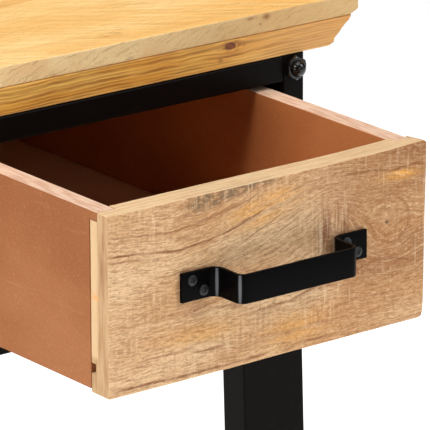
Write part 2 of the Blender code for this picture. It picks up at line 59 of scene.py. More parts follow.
# Shapes in general: lattice cells, rounded edges and small distances
TOP_CELL = 0.004
LAYER_CELL = 0.001
FRONT_CELL = 0.002
BOARD_ARRIS = 0.0007
FRONT_ARRIS = 0.0009
SOFT_STEEL = 0.0003
SOFT_BOARD = 0.0004
SOFT_SCREW = 0.0002
CURVE_ANGLE = 40
FLAT_ANGLE = math.radians(0.8)
SAME_POINT = 0.000002
AIR = 0.0003
PAST = 0.010
FACE_SETBACK = 0.0001
ON_FACE = 0.001

# Tabletop: the profile of its ends is (height above the lower face, distance cut away)
LOWER_SETBACK = 0.0002
END_REACH = 0.045
END_PROFILE = (
    (0.0000, 0.0225),
    (0.0012, 0.0188),
    (0.0034, 0.0174),
    (0.0080, 0.0126),
    (0.0110, 0.0094),
    (0.0133, 0.0064),
    (0.0152, 0.0052),
    (0.0167, 0.0051),
    (0.0186, 0.0000),
    (0.0300, 0.0000),
)
END_SQUARE = 0.001
END_ROUGH = 0.0011
END_COARSE = 0.0009
END_MARGIN = 0.0008

# Drawer front: its edges are not straight. (distance from the left or lower end, shift)
FRONT_TOP_EDGE = ((0.0, -0.0001), (0.160, 0.0002), (0.190, 0.0009), (0.214, 0.0020))
FRONT_LOW_EDGE = ((0.0, -0.0020), (0.080, -0.0020), (0.125, -0.0012), (0.214, -0.0009))
FRONT_RIGHT_END = (
    (0.0, -0.0003),
    (0.004, 0.0008),
    (0.012, 0.0012),
    (0.060, 0.0017),
    (0.085, 0.0024),
    (0.100, 0.0023),
)
FRONT_END_EASE = 0.0035
FRONT_END_DROP = 0.0014
FRONT_END_LIFT = 0.0006
FRONT_REAR_EASE = 0.0080
FRONT_REAR_DROP = 0.0012
TONGUE_HEIGHT = 0.0052

# Strap handle
STRAP_THICKNESS = 0.002
STRAP_ARRIS = 0.00035
STRAP_BAR_HALF = 0.0404
FOOT_BEND = 0.006
BAR_BEND = 0.004
FOOT_STEPS = 5
BEND_STEPS = 10
BAR_STEPS = 8
# Angle round from the front at which the handle's bends carry a painted highlight
BEND_HIGHLIGHT_ANGLE = math.radians(54)

# Handle screws, each turned to its own angle in radians
HEAD_RADIUS = 0.0030
HEAD_HEIGHT = 0.0011
HEAD_RIM = 0.35
HEAD_STEPS = 8
SHANK_RADIUS = 0.0015
SHANK_LENGTH = 0.014
CROSS_REACH = 0.0017
CROSS_WIDTH = 0.0006
CROSS_DEPTH = 0.0008
SCREW_TURNS = {"left_upper": 0.35, "left_lower": 0.95, "right_upper": 0.15, "right_lower": 0.70}

# Dome nuts and their bolts
NUT_FLATS = 0.0126
NUT_HEIGHT = 0.0084
NUT_TURNED_OFF = 0.0011
HEXAGON_HEIGHT = 0.0037
DOME_RADIUS = 0.0047
DOME_STEPS = 10
BOLT_RADIUS = 0.0025
BOLT_LENGTH = 0.024

# Weld beads
WELD_RADIUS = 0.0011
WELD_INSET = 0.0008
WELD_STEP = 0.0004
WELD_PITCH = 0.0012
WELD_SIDES = 10

# Studio. Lights: name, place, side in metres, watts
FLOOR_SIDE = 30.0
FLOOR_GLOW = 0.50
AIR_GLOW = 0.03
LIGHT_TARGET = (0, 0, 0.4)
LIGHTS = (
    ("softbox_above", (0.0, -0.3, 2.8), 2.0, 36),
    ("softbox_front", (-0.5, -3.4, 1.5), 1.6, 9),
    ("softbox_right", (2.0, -2.6, 1.6), 1.6, 12),
    ("softbox_high_right", (1.8, -2.2, 3.0), 1.4, 52),
    ("softbox_high_left", (-2.4, 0.2, 2.2), 1.4, 48),
    ("softbox_left", (-3.0, 0.9, 0.7), 1.4, 10),
    ("lamp_low_left", (-2.5, -0.4, 0.45), 0.20, 6),
    ("lamp_high_left", (-1.85, -0.55, 2.15), 0.35, 10),
)

# Rise of the grain on the drawer front: (distance from its left end, rise)
FRONT_GRAIN_RISE = (
    (0.0, 0.0),
    (0.021, -0.0019),
    (0.043, -0.0042),
    (0.062, -0.0026),
    (0.080, 0.0012),
    (0.100, 0.0060),
    (0.125, 0.0110),
    (0.150, 0.0120),
    (0.180, 0.0060),
    (0.214, 0.0030),
)

# Growth lines: width, weight and points as (distance from the left end, height)
FRONT_LINES = (
    (0.0010, 0.60, (0.000, 0.0868), (0.021, 0.0848), (0.041, 0.0831),
     (0.060, 0.0847), (0.080, 0.0885), (0.100, 0.0918)),
    (0.0011, 1.00, (0.000, 0.0770), (0.021, 0.0750), (0.047, 0.0718),
     (0.067, 0.0734), (0.084, 0.0767), (0.106, 0.0845)),
    (0.0009, 0.55, (0.000, 0.0737), (0.018, 0.0718), (0.036, 0.0700)),
    (0.0010, 0.65, (0.030, 0.0600), (0.042, 0.0590), (0.056, 0.0592)),
    (0.0009, 0.60, (0.086, 0.0660), (0.100, 0.0720), (0.118, 0.0800)),
    (0.0009, 0.50, (0.096, 0.0600), (0.112, 0.0680), (0.130, 0.0760)),
    (0.0012, 0.60, (0.070, 0.0345), (0.088, 0.0325), (0.108, 0.0355)),
    (0.0013, 0.75, (0.095, 0.0268), (0.121, 0.0284), (0.139, 0.0322), (0.151, 0.0312)),
    (0.0009, 0.85, (0.022, 0.0151), (0.034, 0.0150), (0.047, 0.0149)),
    (0.0009, 0.85, (0.055, 0.0128), (0.066, 0.0122), (0.078, 0.0126)),
    (0.0012, 1.00, (0.003, 0.0016), (0.029, 0.0014), (0.050, 0.0008),
     (0.071, 0.0010), (0.092, 0.0016), (0.109, 0.0018)),
    (0.0011, 0.90, (0.112, 0.0028), (0.128, 0.0030), (0.150, 0.0024)),
    (0.0012, 0.80, (0.158, 0.0919), (0.170, 0.0914), (0.183, 0.0905), (0.192, 0.0885)),
    (0.0014, 1.00, (0.190, 0.0884), (0.2016, 0.0889), (0.209, 0.0893), (0.2155, 0.0870)),
    (0.0010, 0.50, (0.120, 0.0900), (0.135, 0.0930), (0.160, 0.0945)),
    (0.0013, 0.80, (0.160, 0.0345), (0.1726, 0.0375), (0.182, 0.0392),
     (0.192, 0.0383), (0.212, 0.0330)),
    (0.0012, 0.45, (0.150, 0.0180), (0.172, 0.0200), (0.200, 0.0190)),
)
# Lower border of the grey stain: (distance from the left end, height)
FRONT_STAIN = ((0.046, 0.0895), (0.064, 0.0912), (0.083, 0.0938), (0.100, 0.0958), (0.114, 0.0966))

# Soft marks: (centre, size, weight)
FRONT_AMBER = (
    ((0.098, 0.082), (0.016, 0.007), 1.0),
    ((0.124, 0.011), (0.020, 0.009), 0.7),
    ((0.062, 0.022), (0.024, 0.006), 0.6),
    ((0.200, 0.0850), (0.012, 0.0030), 1.0),
    ((0.114, 0.088), (0.014, 0.005), 0.8),
)
FRONT_FLAME = (
    ((0.1455, 0.062), (0.0045, 0.010), 1.0),
    ((0.1575, 0.062), (0.0050, 0.011), 1.0),
)
FRONT_END_MARKS = (
    ((0.0055, 0.068), (0.0018, 0.012), 1.0),
    ((0.0040, 0.083), (0.0016, 0.007), 0.7),
)
TOP_KNOTS = (
    ((0.2722, 0.0092), (0.0022, 0.0016), 1.0),
    ((0.2605, 0.0098), (0.0026, 0.0008), 0.8),
)

# Stripes on the lower board: (height, width, weight)
LOWER_STRIPES = (
    (0.0148, 0.0011, 0.55),
    (0.0124, 0.0017, 0.75),
    (0.0098, 0.0010, 0.50),
    (0.0076, 0.0017, 0.85),
    (0.0050, 0.0011, 0.50),
    (0.0032, 0.0012, 0.70),
    (0.0014, 0.0008, 0.95),
)
FRONT_END_EASE = 0.0035
FRONT_END_DROP = 0.0014
FRONT_REAR_EASE = 0.0080
FRONT_REAR_DROP = 0.0012
FRONT_END_LIFT = 0.0006


def operator(kind, swap=False):
    """A method of Field that adds one Math node."""

    def apply(self, *others):
        node = self.paint.add("ShaderNodeMath", operation=kind)
        terms = [self, *others]
        if swap:
            terms.reverse()
        for slot, term in zip(node.inputs, terms):
            self.paint.feed(slot, term)
        return Field(self.paint, node.outputs[0])

    return apply


class Field:
    """A number that varies over a surface. Arithmetic on it adds Math nodes to its material."""

    def __init__(self, paint, socket):
        self.paint = paint
        self.socket = socket

    __add__ = __radd__ = operator("ADD")
    __sub__ = operator("SUBTRACT")
    __rsub__ = operator("SUBTRACT", swap=True)
    __mul__ = operator("MULTIPLY")
    __truediv__ = operator("DIVIDE")
    __abs__ = operator("ABSOLUTE")
    __pow__ = operator("POWER")
    sine = operator("SINE")
    exp = operator("EXPONENT")
    larger = operator("MAXIMUM")

    def ramp(self, low, high):
        """0 below low, 1 above high, smooth between them. High may be the smaller one."""
        start, end = sorted(((low, 0.0), (high, 1.0)))
        return self.paint.mapped(self, start, end, interpolation_type="SMOOTHSTEP")


class Paint:
    """One material and short calls for the nodes in it. Positions are metres from a corner."""

    def __init__(self, name, corner=(0, 0, 0)):
        self.material = bpy.data.materials.new(name)
        self.material.use_nodes = True
        self.tree = self.material.node_tree
        self.shader = self.tree.nodes["Principled BSDF"]
        self.places = self.add("ShaderNodeTexCoord")
        shift = self.add("ShaderNodeVectorMath", operation="SUBTRACT")
        self.feed(shift.inputs[0], self.places.outputs["Object"])
        shift.inputs[1].default_value = corner
        self.position = shift.outputs[0]
        self.x, self.y, self.z = self.split(self.position)
        self.colour = None

    def add(self, kind, **settings):
        node = self.tree.nodes.new(kind)
        for name, value in settings.items():
            setattr(node, name, value)
        return node

    def feed(self, slot, value):
        if isinstance(value, Field):
            value = value.socket
        if isinstance(value, bpy.types.NodeSocket):
            self.tree.links.new(value, slot)
        elif isinstance(value, tuple) and len(value) == 3 and slot.type == "RGBA":
            slot.default_value = (*value, 1.0)
        else:
            slot.default_value = value

    def split(self, vector):
        node = self.add("ShaderNodeSeparateXYZ")
        self.feed(node.inputs[0], vector)
        return [Field(self, out) for out in node.outputs]

    def vector(self, x, y, z):
        node = self.add("ShaderNodeCombineXYZ")
        for slot, value in zip(node.inputs, (x, y, z)):
            self.feed(slot, value)
        return node.outputs[0]

    def facing(self):
        """The surface normal's three parts."""
        return self.split(self.places.outputs["Normal"])

    def noise(self, vector, scale=1.0, detail=2.0, rough=0.5, twist=0.0):
        node = self.add("ShaderNodeTexNoise")
        self.feed(node.inputs["Vector"], vector)
        self.feed(node.inputs["Scale"], scale)
        self.feed(node.inputs["Detail"], detail)
        self.feed(node.inputs["Roughness"], rough)
        self.feed(node.inputs["Distortion"], twist)
        return Field(self, node.outputs[0])

    def grain(self, stretch, x=None, y=None, z=None, **settings):
        """Noise stretched along the axes. Other fields can take the place of x, y or z."""
        places = zip((x, y, z), (self.x, self.y, self.z), stretch)
        vector = [(own if given is None else given) * factor for given, own, factor in places]
        return self.noise(self.vector(*vector), **settings)

    def cells(self, vector, scale, width):
        """1 at the middle of scattered cells and 0 beyond width, in shares of a cell."""
        node = self.add("ShaderNodeTexVoronoi")
        self.feed(node.inputs["Vector"], vector)
        self.feed(node.inputs["Scale"], scale)
        return Field(self, node.outputs["Distance"]).ramp(width, 0.0)

    def mapped(self, field, start, end, **settings):
        """A field carried over from the (input, output) at its start to the one at its end."""
        node = self.add("ShaderNodeMapRange", **settings)
        for name, value in zip(("From Min", "To Min", "From Max", "To Max"), (*start, *end)):
            node.inputs[name].default_value = value
        self.feed(node.inputs["Value"], field)
        return Field(self, node.outputs["Result"])

    def course(self, field, table):
        """Straight-line interpolation in a table of (position, amount)."""
        total = self.mapped(field, *table[:2])
        for (start, first), (end, second) in zip(table[1:], table[2:]):
            total = total + self.mapped(field, (start, 0.0), (end, second - first))
        return total

    def mix(self, share, first, second):
        node = self.add("ShaderNodeMix", data_type="RGBA")
        node.clamp_factor = True
        self.feed(node.inputs["Factor"], share)
        self.feed(node.inputs[6], first)
        self.feed(node.inputs[7], second)
        return node.outputs[2]

    def cover(self, share, colour):
        """Put a colour over part of what has been painted so far."""
        self.colour = self.mix(share, self.colour, colour)

    def coat(self, share, red, green, blue):
        self.cover(share, srgb(red, green, blue))

    def finish(self, roughness, specular, relief=None, depth=0.0, metallic=0.0):
        """Join colour, gloss and relief to the shader. Depth is the relief's height in metres."""
        self.feed(self.shader.inputs["Base Color"], self.colour)
        self.feed(self.shader.inputs["Roughness"], roughness)
        if relief is not None:
            node = self.add("ShaderNodeBump")
            self.feed(node.inputs["Height"], relief)
            node.inputs["Distance"].default_value = depth
            self.feed(self.shader.inputs["Normal"], node.outputs[0])
        self.shader.inputs["Specular IOR Level"].default_value = specular
        self.shader.inputs["Metallic"].default_value = metallic
        return self.material


def srgb(red, green, blue):
    """A display colour, 0 to 255, as linear light."""

    def linear(level):
        level = level / 255
        return level / 12.92 if level <= 0.04045 else ((level + 0.055) / 1.055) ** 2.4

    return (linear(red), linear(green), linear(blue))


def swell(paint, across, up, centre, size):
    """1 at a centre in the face's plane, falling off smoothly over its size."""
    u = (across - centre[0]) / size[0]
    v = (up - centre[1]) / size[1]
    return ((u * u + v * v) * -1.0).exp()


def largest(fields):
    first, *others = fields
    for other in others:
        first = first.larger(other)
    return first


def marks(paint, across, up, table):
    """The largest of several swells, from (centre, size, weight)."""
    return largest(
        [swell(paint, across, up, centre, size) * weight for centre, size, weight in table]
    )


def front_corner():
    """Left end of the drawer's face, level with the lower edge of its sides."""
    front_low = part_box("drawer_front")[0]
    side_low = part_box("drawer_left_side")[0]
    return Vector((front_low.x, front_low.y, side_low.z))


def drawer_front_wood():
    """Rough-sawn mango: brown growth lines that dip, climb to a crest and fall, round a knot."""
    paint = Paint("mango_front_face", tuple(front_corner()))
    along, depth, up = paint.x, paint.y, paint.z

    drift = paint.grain((18, 30, 30), detail=2)
    tremble = paint.grain((95, 90, 130), detail=3)
    wander = (drift - 0.5) * 0.0030 + (tremble - 0.5) * 0.0016
    upper = up.ramp(0.020, 0.070)
    rise = paint.course(along, FRONT_GRAIN_RISE)
    swirl = swell(paint, along, up, (0.189, 0.060), (0.018, 0.019))
    knee = swell(paint, along, up, (0.150, 0.068), (0.016, 0.020)) * 0.010
    flow = up - rise * upper - swirl * (up - 0.060) * 0.85 - knee + wander * 2.2

    area = paint.grain((10, 20, 24), detail=2)
    growth = paint.grain((7, 120, 230), z=flow, detail=4, rough=0.6)
    fibres = paint.grain((70, 500, 1100), z=flow, detail=4, rough=0.7)
    right_end = along.ramp(0.110, 0.185) * (up.ramp(0.018, 0.040) + 0.12)
    pale = paint.mix(right_end, srgb(234, 196, 150), srgb(194, 146, 98))
    tan = paint.mix(right_end, srgb(206, 156, 106), srgb(160, 108, 64))
    brown = srgb(138, 83, 44)
    deep = srgb(116, 66, 34)
    paint.colour = paint.mix(area.ramp(0.34, 0.66), pale, tan)
    paint.coat(growth.ramp(0.54, 0.70) * 0.55, 180, 120, 66)
    paint.coat(growth.ramp(0.44, 0.30) * 0.35, 246, 214, 168)
    paint.coat((fibres - 0.46) * 3.4, 146, 92, 50)
    paint.coat((0.47 - fibres) * 2.2, 250, 222, 182)

    amber = marks(paint, along, up, FRONT_AMBER) * growth.ramp(0.62, 0.42)
    paint.coat(amber * 0.85, 240, 172, 80)

    # Brown growth lines, broken here and there
    lines = []
    for width, weight, *course in FRONT_LINES:
        start, end = course[0][0], course[-1][0]
        present = along.ramp(start - 0.004, start + 0.006) * along.ramp(end + 0.005, end - 0.008)
        line = abs(up - paint.course(along, course) + wander).ramp(width, width * 0.12)
        lines.append(line * present * weight)
    broken = paint.grain((60, 20, 120), z=flow, detail=2)
    lines = largest(lines) * (broken.ramp(0.34, 0.58) * 0.55 + 0.45)
    paint.cover(lines * 0.92, brown)

    # Upright flame beside the knot
    streaks = paint.grain((560, 90, 40), detail=2)
    flame = marks(paint, along, up, FRONT_FLAME)
    flame_area = swell(paint, along, up, (0.151, 0.066), (0.014, 0.018))
    paint.coat(flame_area * streaks.ramp(0.44, 0.62) * 0.55, 164, 108, 72)
    paint.coat(flame * streaks.ramp(0.34, 0.58) * 0.80, 136, 82, 52)
    ghost = swell(paint, along, up, (0.141, 0.054), (0.010, 0.016))
    paint.coat(ghost * streaks.ramp(0.52, 0.34) * 0.7, 232, 204, 172)

    # Knot with rings and a dark pip
    u = (along - 0.1915) / 0.0150
    v = (up - 0.0600) / 0.0160
    radius = (u * u + v * v) ** 0.5 + (drift - 0.5) * 0.35 + (tremble - 0.5) * 0.25
    ring_area = radius.ramp(1.25, 0.75) * radius.ramp(0.30, 0.65)
    ring = (radius * 17.0).sine().ramp(0.20, 1.0) * ring_area
    low_right = (u - v).ramp(-0.6, 0.8) * 0.7 + 0.3
    paint.coat(ring * low_right * 0.60, 150, 94, 54)
    paint.coat(radius.ramp(0.75, 0.2) * 0.25, 214, 172, 130)
    pip = swell(paint, along, up, (0.1885, 0.0592), (0.0011, 0.0010))
    paint.coat(pip, 76, 44, 30)

    # Grey stain under the top edge
    stain = up - paint.course(along, FRONT_STAIN) + (drift - 0.5) * 0.006
    stain = stain.ramp(-0.0022, 0.0030) * along.ramp(0.046, 0.060) * along.ramp(0.118, 0.104)
    grime = paint.grain((190, 160, 300), detail=3, rough=0.7)
    paint.coat(stain * grime.ramp(0.34, 0.58) * 0.84, 108, 90, 66)

    # Mottle, upright saw marks and pores
    flecks = paint.vector(along * 330, depth * 520, up * 900)
    mottle = paint.noise(flecks, detail=3, rough=0.7, twist=0.8)
    paint.coat(mottle.ramp(0.48, 0.68) * 0.46, 132, 82, 46)
    paint.coat(mottle.ramp(0.48, 0.28) * 0.34, 250, 224, 186)
    saw = paint.grain((520, 60, 46), detail=2, twist=0.3)
    saw_area = paint.grain((22, 16, 26), detail=2).ramp(0.44, 0.66)
    paint.cover(saw.ramp(0.52, 0.70) * saw_area * 0.26, brown)
    paint.coat(saw.ramp(0.46, 0.30) * saw_area * 0.30, 250, 224, 186)
    pores = paint.grain((110, 1200, 2300), z=flow, detail=1)
    paint.cover(pores.ramp(0.66, 0.78) * 0.50, deep)
    lower_edge = up.ramp(-0.0002, -0.0016)
    paint.coat(lower_edge * 0.5, 226, 182, 130)

    # Top edge and end grain
    right, _, top = paint.facing()
    top_face = top.ramp(0.55, 0.85)
    top_streak = paint.grain((26, 620, 60), detail=3, rough=0.6)
    top_colour = paint.mix(top_streak.ramp(0.42, 0.68), srgb(221, 190, 148), srgb(196, 158, 115))
    paint.cover(top_face * 0.85, top_colour)
    end_face = abs(right).ramp(0.70, 0.92)
    end_streak = paint.grain((40, 420, 50), detail=3)
    end_colour = paint.mix(end_streak.ramp(0.38, 0.66), srgb(188, 154, 113), srgb(168, 128, 88))
    pale_strip = depth.ramp(0.0085, 0.0105) * up.ramp(0.0165, 0.0200)
    end_colour = paint.mix(pale_strip * 0.75, end_colour, srgb(216, 182, 138))
    end_mark = marks(paint, depth, up, FRONT_END_MARKS)
    end_colour = paint.mix(end_mark * 0.80, end_colour, srgb(138, 88, 54))
    ember = swell(paint, depth, up, (0.0115, 0.052), (0.0030, 0.0016))
    end_colour = paint.mix(ember * 0.7, end_colour, srgb(224, 152, 84))
    paint.cover(end_face * 0.95, end_colour)

    relief = saw * 0.40 + mottle * 0.30 + fibres * 0.35 - lines * 0.45
    roughness = 0.66 + (mottle - 0.5) * 0.25 + lines * 0.1
    return paint.finish(roughness, 0.28, relief, 0.00040)


def top_board_wood():
    """The upper layer: pale, with grain along its length and slanting saw marks."""
    paint = Paint("mango_top_face", tuple(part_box("tabletop_upper_board")[0]))
    along, deep_in, up = paint.x, paint.y, paint.z
    right, front, top = paint.facing()

    drift = paint.grain((9, 26, 60), detail=2)
    fine_drift = paint.grain((40, 90, 160), detail=2)
    across = deep_in + (drift - 0.5) * 0.030 + (fine_drift - 0.5) * 0.003
    level = up + (drift - 0.5) * 0.020 + (fine_drift - 0.5) * 0.003
    growth = paint.grain((4, 85, 120), y=across, z=level, detail=3, rough=0.6)
    fibres = paint.grain((30, 800, 900), y=across, z=level, detail=3, rough=0.65)
    area = paint.grain((6, 14, 20), y=across, z=level, detail=2)

    paint.colour = paint.mix(area.ramp(0.35, 0.66), srgb(248, 208, 140), srgb(238, 184, 106))
    paint.coat(growth.ramp(0.55, 0.70) * 0.50, 216, 152, 74)
    paint.coat((fibres - 0.44) * 1.6, 196, 136, 68)
    veins = paint.grain((7, 240, 200), y=across, z=level, detail=2)
    vein_area = paint.grain((8, 12, 20), y=across, z=level, detail=1)
    vein = veins.ramp(0.64, 0.74) * vein_area.ramp(0.48, 0.62)
    paint.coat(vein * 0.55, 170, 128, 82)
    dashes = paint.grain((95, 900, 900), y=across, z=level, detail=1)
    paint.coat(dashes.ramp(0.70, 0.80) * 0.65, 150, 104, 60)

    # Slanting saw marks on the top
    slant = along * 0.82 + deep_in * 1.25
    saw = paint.grain((420, 22, 10), x=slant, y=along, z=deep_in, detail=2)
    saw_share = top.ramp(0.6, 0.9)
    paint.coat(saw.ramp(0.52, 0.70) * saw_share * 0.32, 196, 146, 80)
    paint.coat(saw.ramp(0.48, 0.30) * saw_share * 0.45, 255, 230, 172)

    # The sawn edge: slanting grey-brown fibres, specks and two knots
    band = abs(front).ramp(0.55, 0.85)
    band_warp = paint.grain((60, 60, 120), detail=2, twist=0.6)
    band_fibres = paint.vector(along * 60, deep_in * 40, up * 620 + band_warp * 4.4 - along * 210)
    band_streak = paint.noise(band_fibres, detail=4, rough=0.7)
    band_area = paint.grain((30, 20, 60), detail=2)
    band_colour = paint.mix(band_area.ramp(0.36, 0.64), srgb(255, 226, 170), srgb(246, 208, 150))
    band_colour = paint.mix(band_streak.ramp(0.50, 0.68) * 0.66, band_colour, srgb(168, 128, 78))
    band_colour = paint.mix(band_streak.ramp(0.44, 0.26) * 0.35, band_colour, srgb(238, 208, 164))
    band_colour = paint.mix(along.ramp(0.15, 0.27) * 0.65, band_colour, srgb(196, 156, 100))
    specks = paint.cells(paint.vector(along * 1.0, deep_in * 0.4, up * 1.6), 92, 0.16)
    speck_area = paint.grain((50, 20, 90), detail=0)
    speck = specks * speck_area.ramp(0.50, 0.62)
    band_colour = paint.mix(speck * 0.75, band_colour, srgb(134, 92, 54))
    knots = marks(paint, along, up, TOP_KNOTS)
    band_colour = paint.mix(knots * 0.85, band_colour, srgb(140, 88, 46))
    paint.cover(band, band_colour)

    end_face = abs(right).ramp(0.5, 0.8)
    end_rings = paint.grain((90, 90, 420), detail=3, twist=0.4)
    end_colour = paint.mix(end_rings.ramp(0.38, 0.66), srgb(216, 178, 122), srgb(164, 118, 70))
    paint.cover(end_face, end_colour)

    mottle = paint.grain((700, 900, 1000), detail=2, rough=0.7)
    paint.coat(mottle.ramp(0.52, 0.75) * 0.25, 150, 104, 60)
    relief = saw * 0.5 + fibres * 0.35 + mottle * 0.3
    roughness = 0.56 + band * 0.18 + (mottle - 0.5) * 0.2
    return paint.finish(roughness, 0.32, relief, 0.00035)


def lower_board_wood():
    """The lower layer: golden, with wavy darker stripes along its edge, a dark knot and a gloss."""
    paint = Paint("mango_lower_face", tuple(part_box("tabletop_lower_board")[0]))
    along, up = paint.x, paint.z
    right, _, top = paint.facing()

    drift = paint.grain((16, 24, 20), detail=2)
    fine_drift = paint.grain((90, 60, 60), detail=2)
    knot_push = swell(paint, along, up, (0.2432, 0.0120), (0.011, 0.0050))
    flow = up + (drift - 0.5) * 0.0040 + (fine_drift - 0.5) * 0.0012
    flow = flow - knot_push * (up - 0.0120) * 0.9
    stripes = largest(
        [
            abs(flow - height).ramp(width, width * 0.1) * weight
            for height, width, weight in LOWER_STRIPES
        ]
    )
    presence = paint.grain((30, 20, 260), z=flow, detail=3)
    fading = along.ramp(0.235, 0.300)
    stripes = stripes * (presence.ramp(0.28, 0.64) * 0.80 + 0.20) * (1.0 - fading * 0.60)
    fibres = paint.grain((34, 300, 1500), z=flow, detail=3, rough=0.6)
    area = paint.grain((18, 16, 130), z=flow, detail=2)

    golden = paint.mix(area.ramp(0.34, 0.66), srgb(255, 204, 104), srgb(246, 180, 76))
    paint.colour = paint.mix(fading * 0.75, golden, srgb(218, 160, 96))
    paint.coat((fibres - 0.46) * 2.4, 166, 94, 30)
    paint.coat(stripes * 0.90, 140, 74, 18)
    foot_strip = up.ramp(0.0016, 0.0006)
    paint.coat(foot_strip * 0.5, 248, 196, 116)
    # The knot, a halo of tinted wood and a small mark beside it
    knot_noise = paint.grain((260, 120, 420), detail=2)
    knot = swell(paint, along, up, (0.2432, 0.0122), (0.0048, 0.0026)) + (knot_noise - 0.5) * 0.5
    paint.coat(knot.ramp(0.34, 0.66), 104, 48, 14)
    halo = swell(paint, along, up, (0.2442, 0.0120), (0.0110, 0.0038)).ramp(0.25, 0.8)
    paint.coat(halo * knot_noise.ramp(0.40, 0.62) * 0.65, 150, 84, 28)
    mark = swell(paint, along, up, (0.2361, 0.0052), (0.0016, 0.0015))
    paint.coat(mark * 0.65, 150, 88, 36)

    below = top.ramp(-0.6, -0.9)
    paint.coat(below * 0.5, 214, 164, 98)
    end_face = abs(right).ramp(0.45, 0.65)
    end_rings = paint.grain((80, 70, 380), detail=3, twist=0.5)
    end_colour = paint.mix(end_rings.ramp(0.38, 0.66), srgb(206, 158, 96), srgb(150, 98, 50))
    paint.cover(end_face, end_colour)
    relief = fibres * 0.5 - stripes * 0.35 + fine_drift * 0.2
    roughness = 0.46 + (fibres - 0.5) * 0.25 + end_face * 0.25
    return paint.finish(roughness, 0.40, relief, 0.00030)


def fibreboard_paint():
    """Raw fibreboard: even red-brown faces with a fine fleck, and paler sawn edges. The left board
    is painted darker as shade.
    """
    paint = Paint("fibreboard_raw")
    along = paint.x
    top = paint.facing()[2]
    fleck = paint.noise(paint.position, 900, detail=3, rough=0.7)
    cloud = paint.grain((12, 9, 16), detail=3)
    # Painted shade: the left board gets a darker colour than the right board, though both are the
    # same fibreboard
    left_board_painted_shade = paint.mix(cloud.ramp(0.34, 0.66), srgb(158, 102, 64), srgb(143, 87, 52))
    right_board = paint.mix(cloud.ramp(0.34, 0.66), srgb(188, 117, 67), srgb(172, 102, 56))
    paint.colour = paint.mix(along.ramp(-0.02, 0.02), left_board_painted_shade, right_board)
    paint.coat(fleck.ramp(0.54, 0.74) * 0.30, 140, 82, 48)
    paint.coat(fleck.ramp(0.46, 0.28) * 0.28, 214, 150, 104)
    rub_and_bend_highlight = paint.grain((60, 30, 300), detail=4, rough=0.7)
    paint.coat(rub_and_bend_highlight.ramp(0.60, 0.80) * 0.18, 206, 146, 104)
    edge = top.ramp(0.6, 0.9)
    edge_fleck = paint.grain((420, 60, 300), detail=3)
    edge_colour = paint.mix(edge_fleck.ramp(0.40, 0.62), srgb(218, 184, 158), srgb(202, 160, 134))
    paint.cover(edge, edge_colour)
    return paint.finish(0.82 + (fleck - 0.5) * 0.2, 0.16, fleck, 0.00012)


def bottom_board_paint():
    """The drawer's bottom: thin greyish-brown hardboard with a fine fleck and pale dust."""
    paint = Paint("hardboard_raw")
    fleck = paint.noise(paint.position, 700, detail=3, rough=0.7)
    cloud = paint.grain((10, 10, 10), detail=3)
    paint.colour = paint.mix(cloud.ramp(0.35, 0.65), srgb(222, 178, 140), srgb(204, 160, 122))
    paint.coat(fleck.ramp(0.52, 0.74) * 0.4, 170, 126, 94)
    dust = paint.grain((40, 40, 40), detail=4, rough=0.7)
    paint.coat(dust.ramp(0.60, 0.80) * 0.35, 190, 160, 132)
    return paint.finish(0.85, 0.12, fleck, 0.00015)


def black_steel_paint(name, colour, gloss, specular, grit, scuffs=0.40, rub_and_bend_highlight=0.0):
    """Black powder coat: faint orange peel, dusty scuffs, and a grey painted highlight on bends."""
    paint = Paint(name)
    peel = paint.noise(paint.position, grit, detail=2)
    scuff = paint.noise(paint.position, 45, detail=5, rough=0.65)
    dust = paint.noise(paint.position, 800, detail=2)
    paint.colour = colour
    paint.coat(scuff.ramp(0.52, 0.78) * scuffs, 30, 27, 25)
    paint.coat(dust.ramp(0.70, 0.80) * scuff.ramp(0.45, 0.65) * 0.5, 84, 80, 76)
    if rub_and_bend_highlight:
        # Painted highlight: a narrow grey band on the bends whose normal faces the given angle
        # round from the front
        right, back, _ = paint.facing()
        bend_highlight_mask = (right * -math.sin(BEND_HIGHLIGHT_ANGLE) + back * -math.cos(BEND_HIGHLIGHT_ANGLE)).ramp(0.970, 1.0)
        paint.coat(bend_highlight_mask * rub_and_bend_highlight, 112, 112, 116)
    return paint.finish(gloss + (scuff - 0.5) * 0.30, specular, peel, 0.00006)


def screw_paint():
    """Blackened screw steel, scratched by the driver."""
    paint = Paint("screw_blackened")
    scratch = paint.grain((2600, 300, 160), detail=2)
    grime = paint.noise(paint.position, 1400, detail=2)
    paint.colour = paint.mix(scratch.ramp(0.52, 0.70), srgb(36, 36, 37), srgb(74, 74, 76))
    paint.coat(grime.ramp(0.45, 0.70) * 0.6, 26, 26, 27)
    return paint.finish(0.44 + (scratch - 0.5) * 0.3, 0.4, scratch, 0.00010, metallic=0.4)


def plastic_paint():
    """Moulded black foot caps with a fine spark-eroded texture."""
    paint = Paint("cap_moulded")
    grain = paint.noise(paint.position, 1500, detail=2)
    wear = paint.noise(paint.position, 90, detail=3)
    paint.colour = paint.mix(wear.ramp(0.55, 0.75) * 0.5, srgb(26, 26, 26), srgb(52, 50, 48))
    return paint.finish(0.55 + (wear - 0.5) * 0.2, 0.3, grain, 0.00008)


def finished(shape, name):
    """The mesh of a bmesh, which is freed."""
    mesh = bpy.data.meshes.new(name)
    shape.to_mesh(mesh)
    shape.free()
    return mesh


def add_object(name, data):
    item = bpy.data.objects.new(name, data)
    bpy.context.scene.collection.objects.link(item)
    return item


def link_piece(name, mesh, body, material, slot, *nodes):
    """Put a finished mesh in the scene: it rides on a body and stands for CAD nodes."""
    piece = add_object(name, mesh)
    mesh.materials.clear()
    mesh.materials.append(material)
    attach(piece, body)
    if nodes:
        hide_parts(*nodes)
    return piece


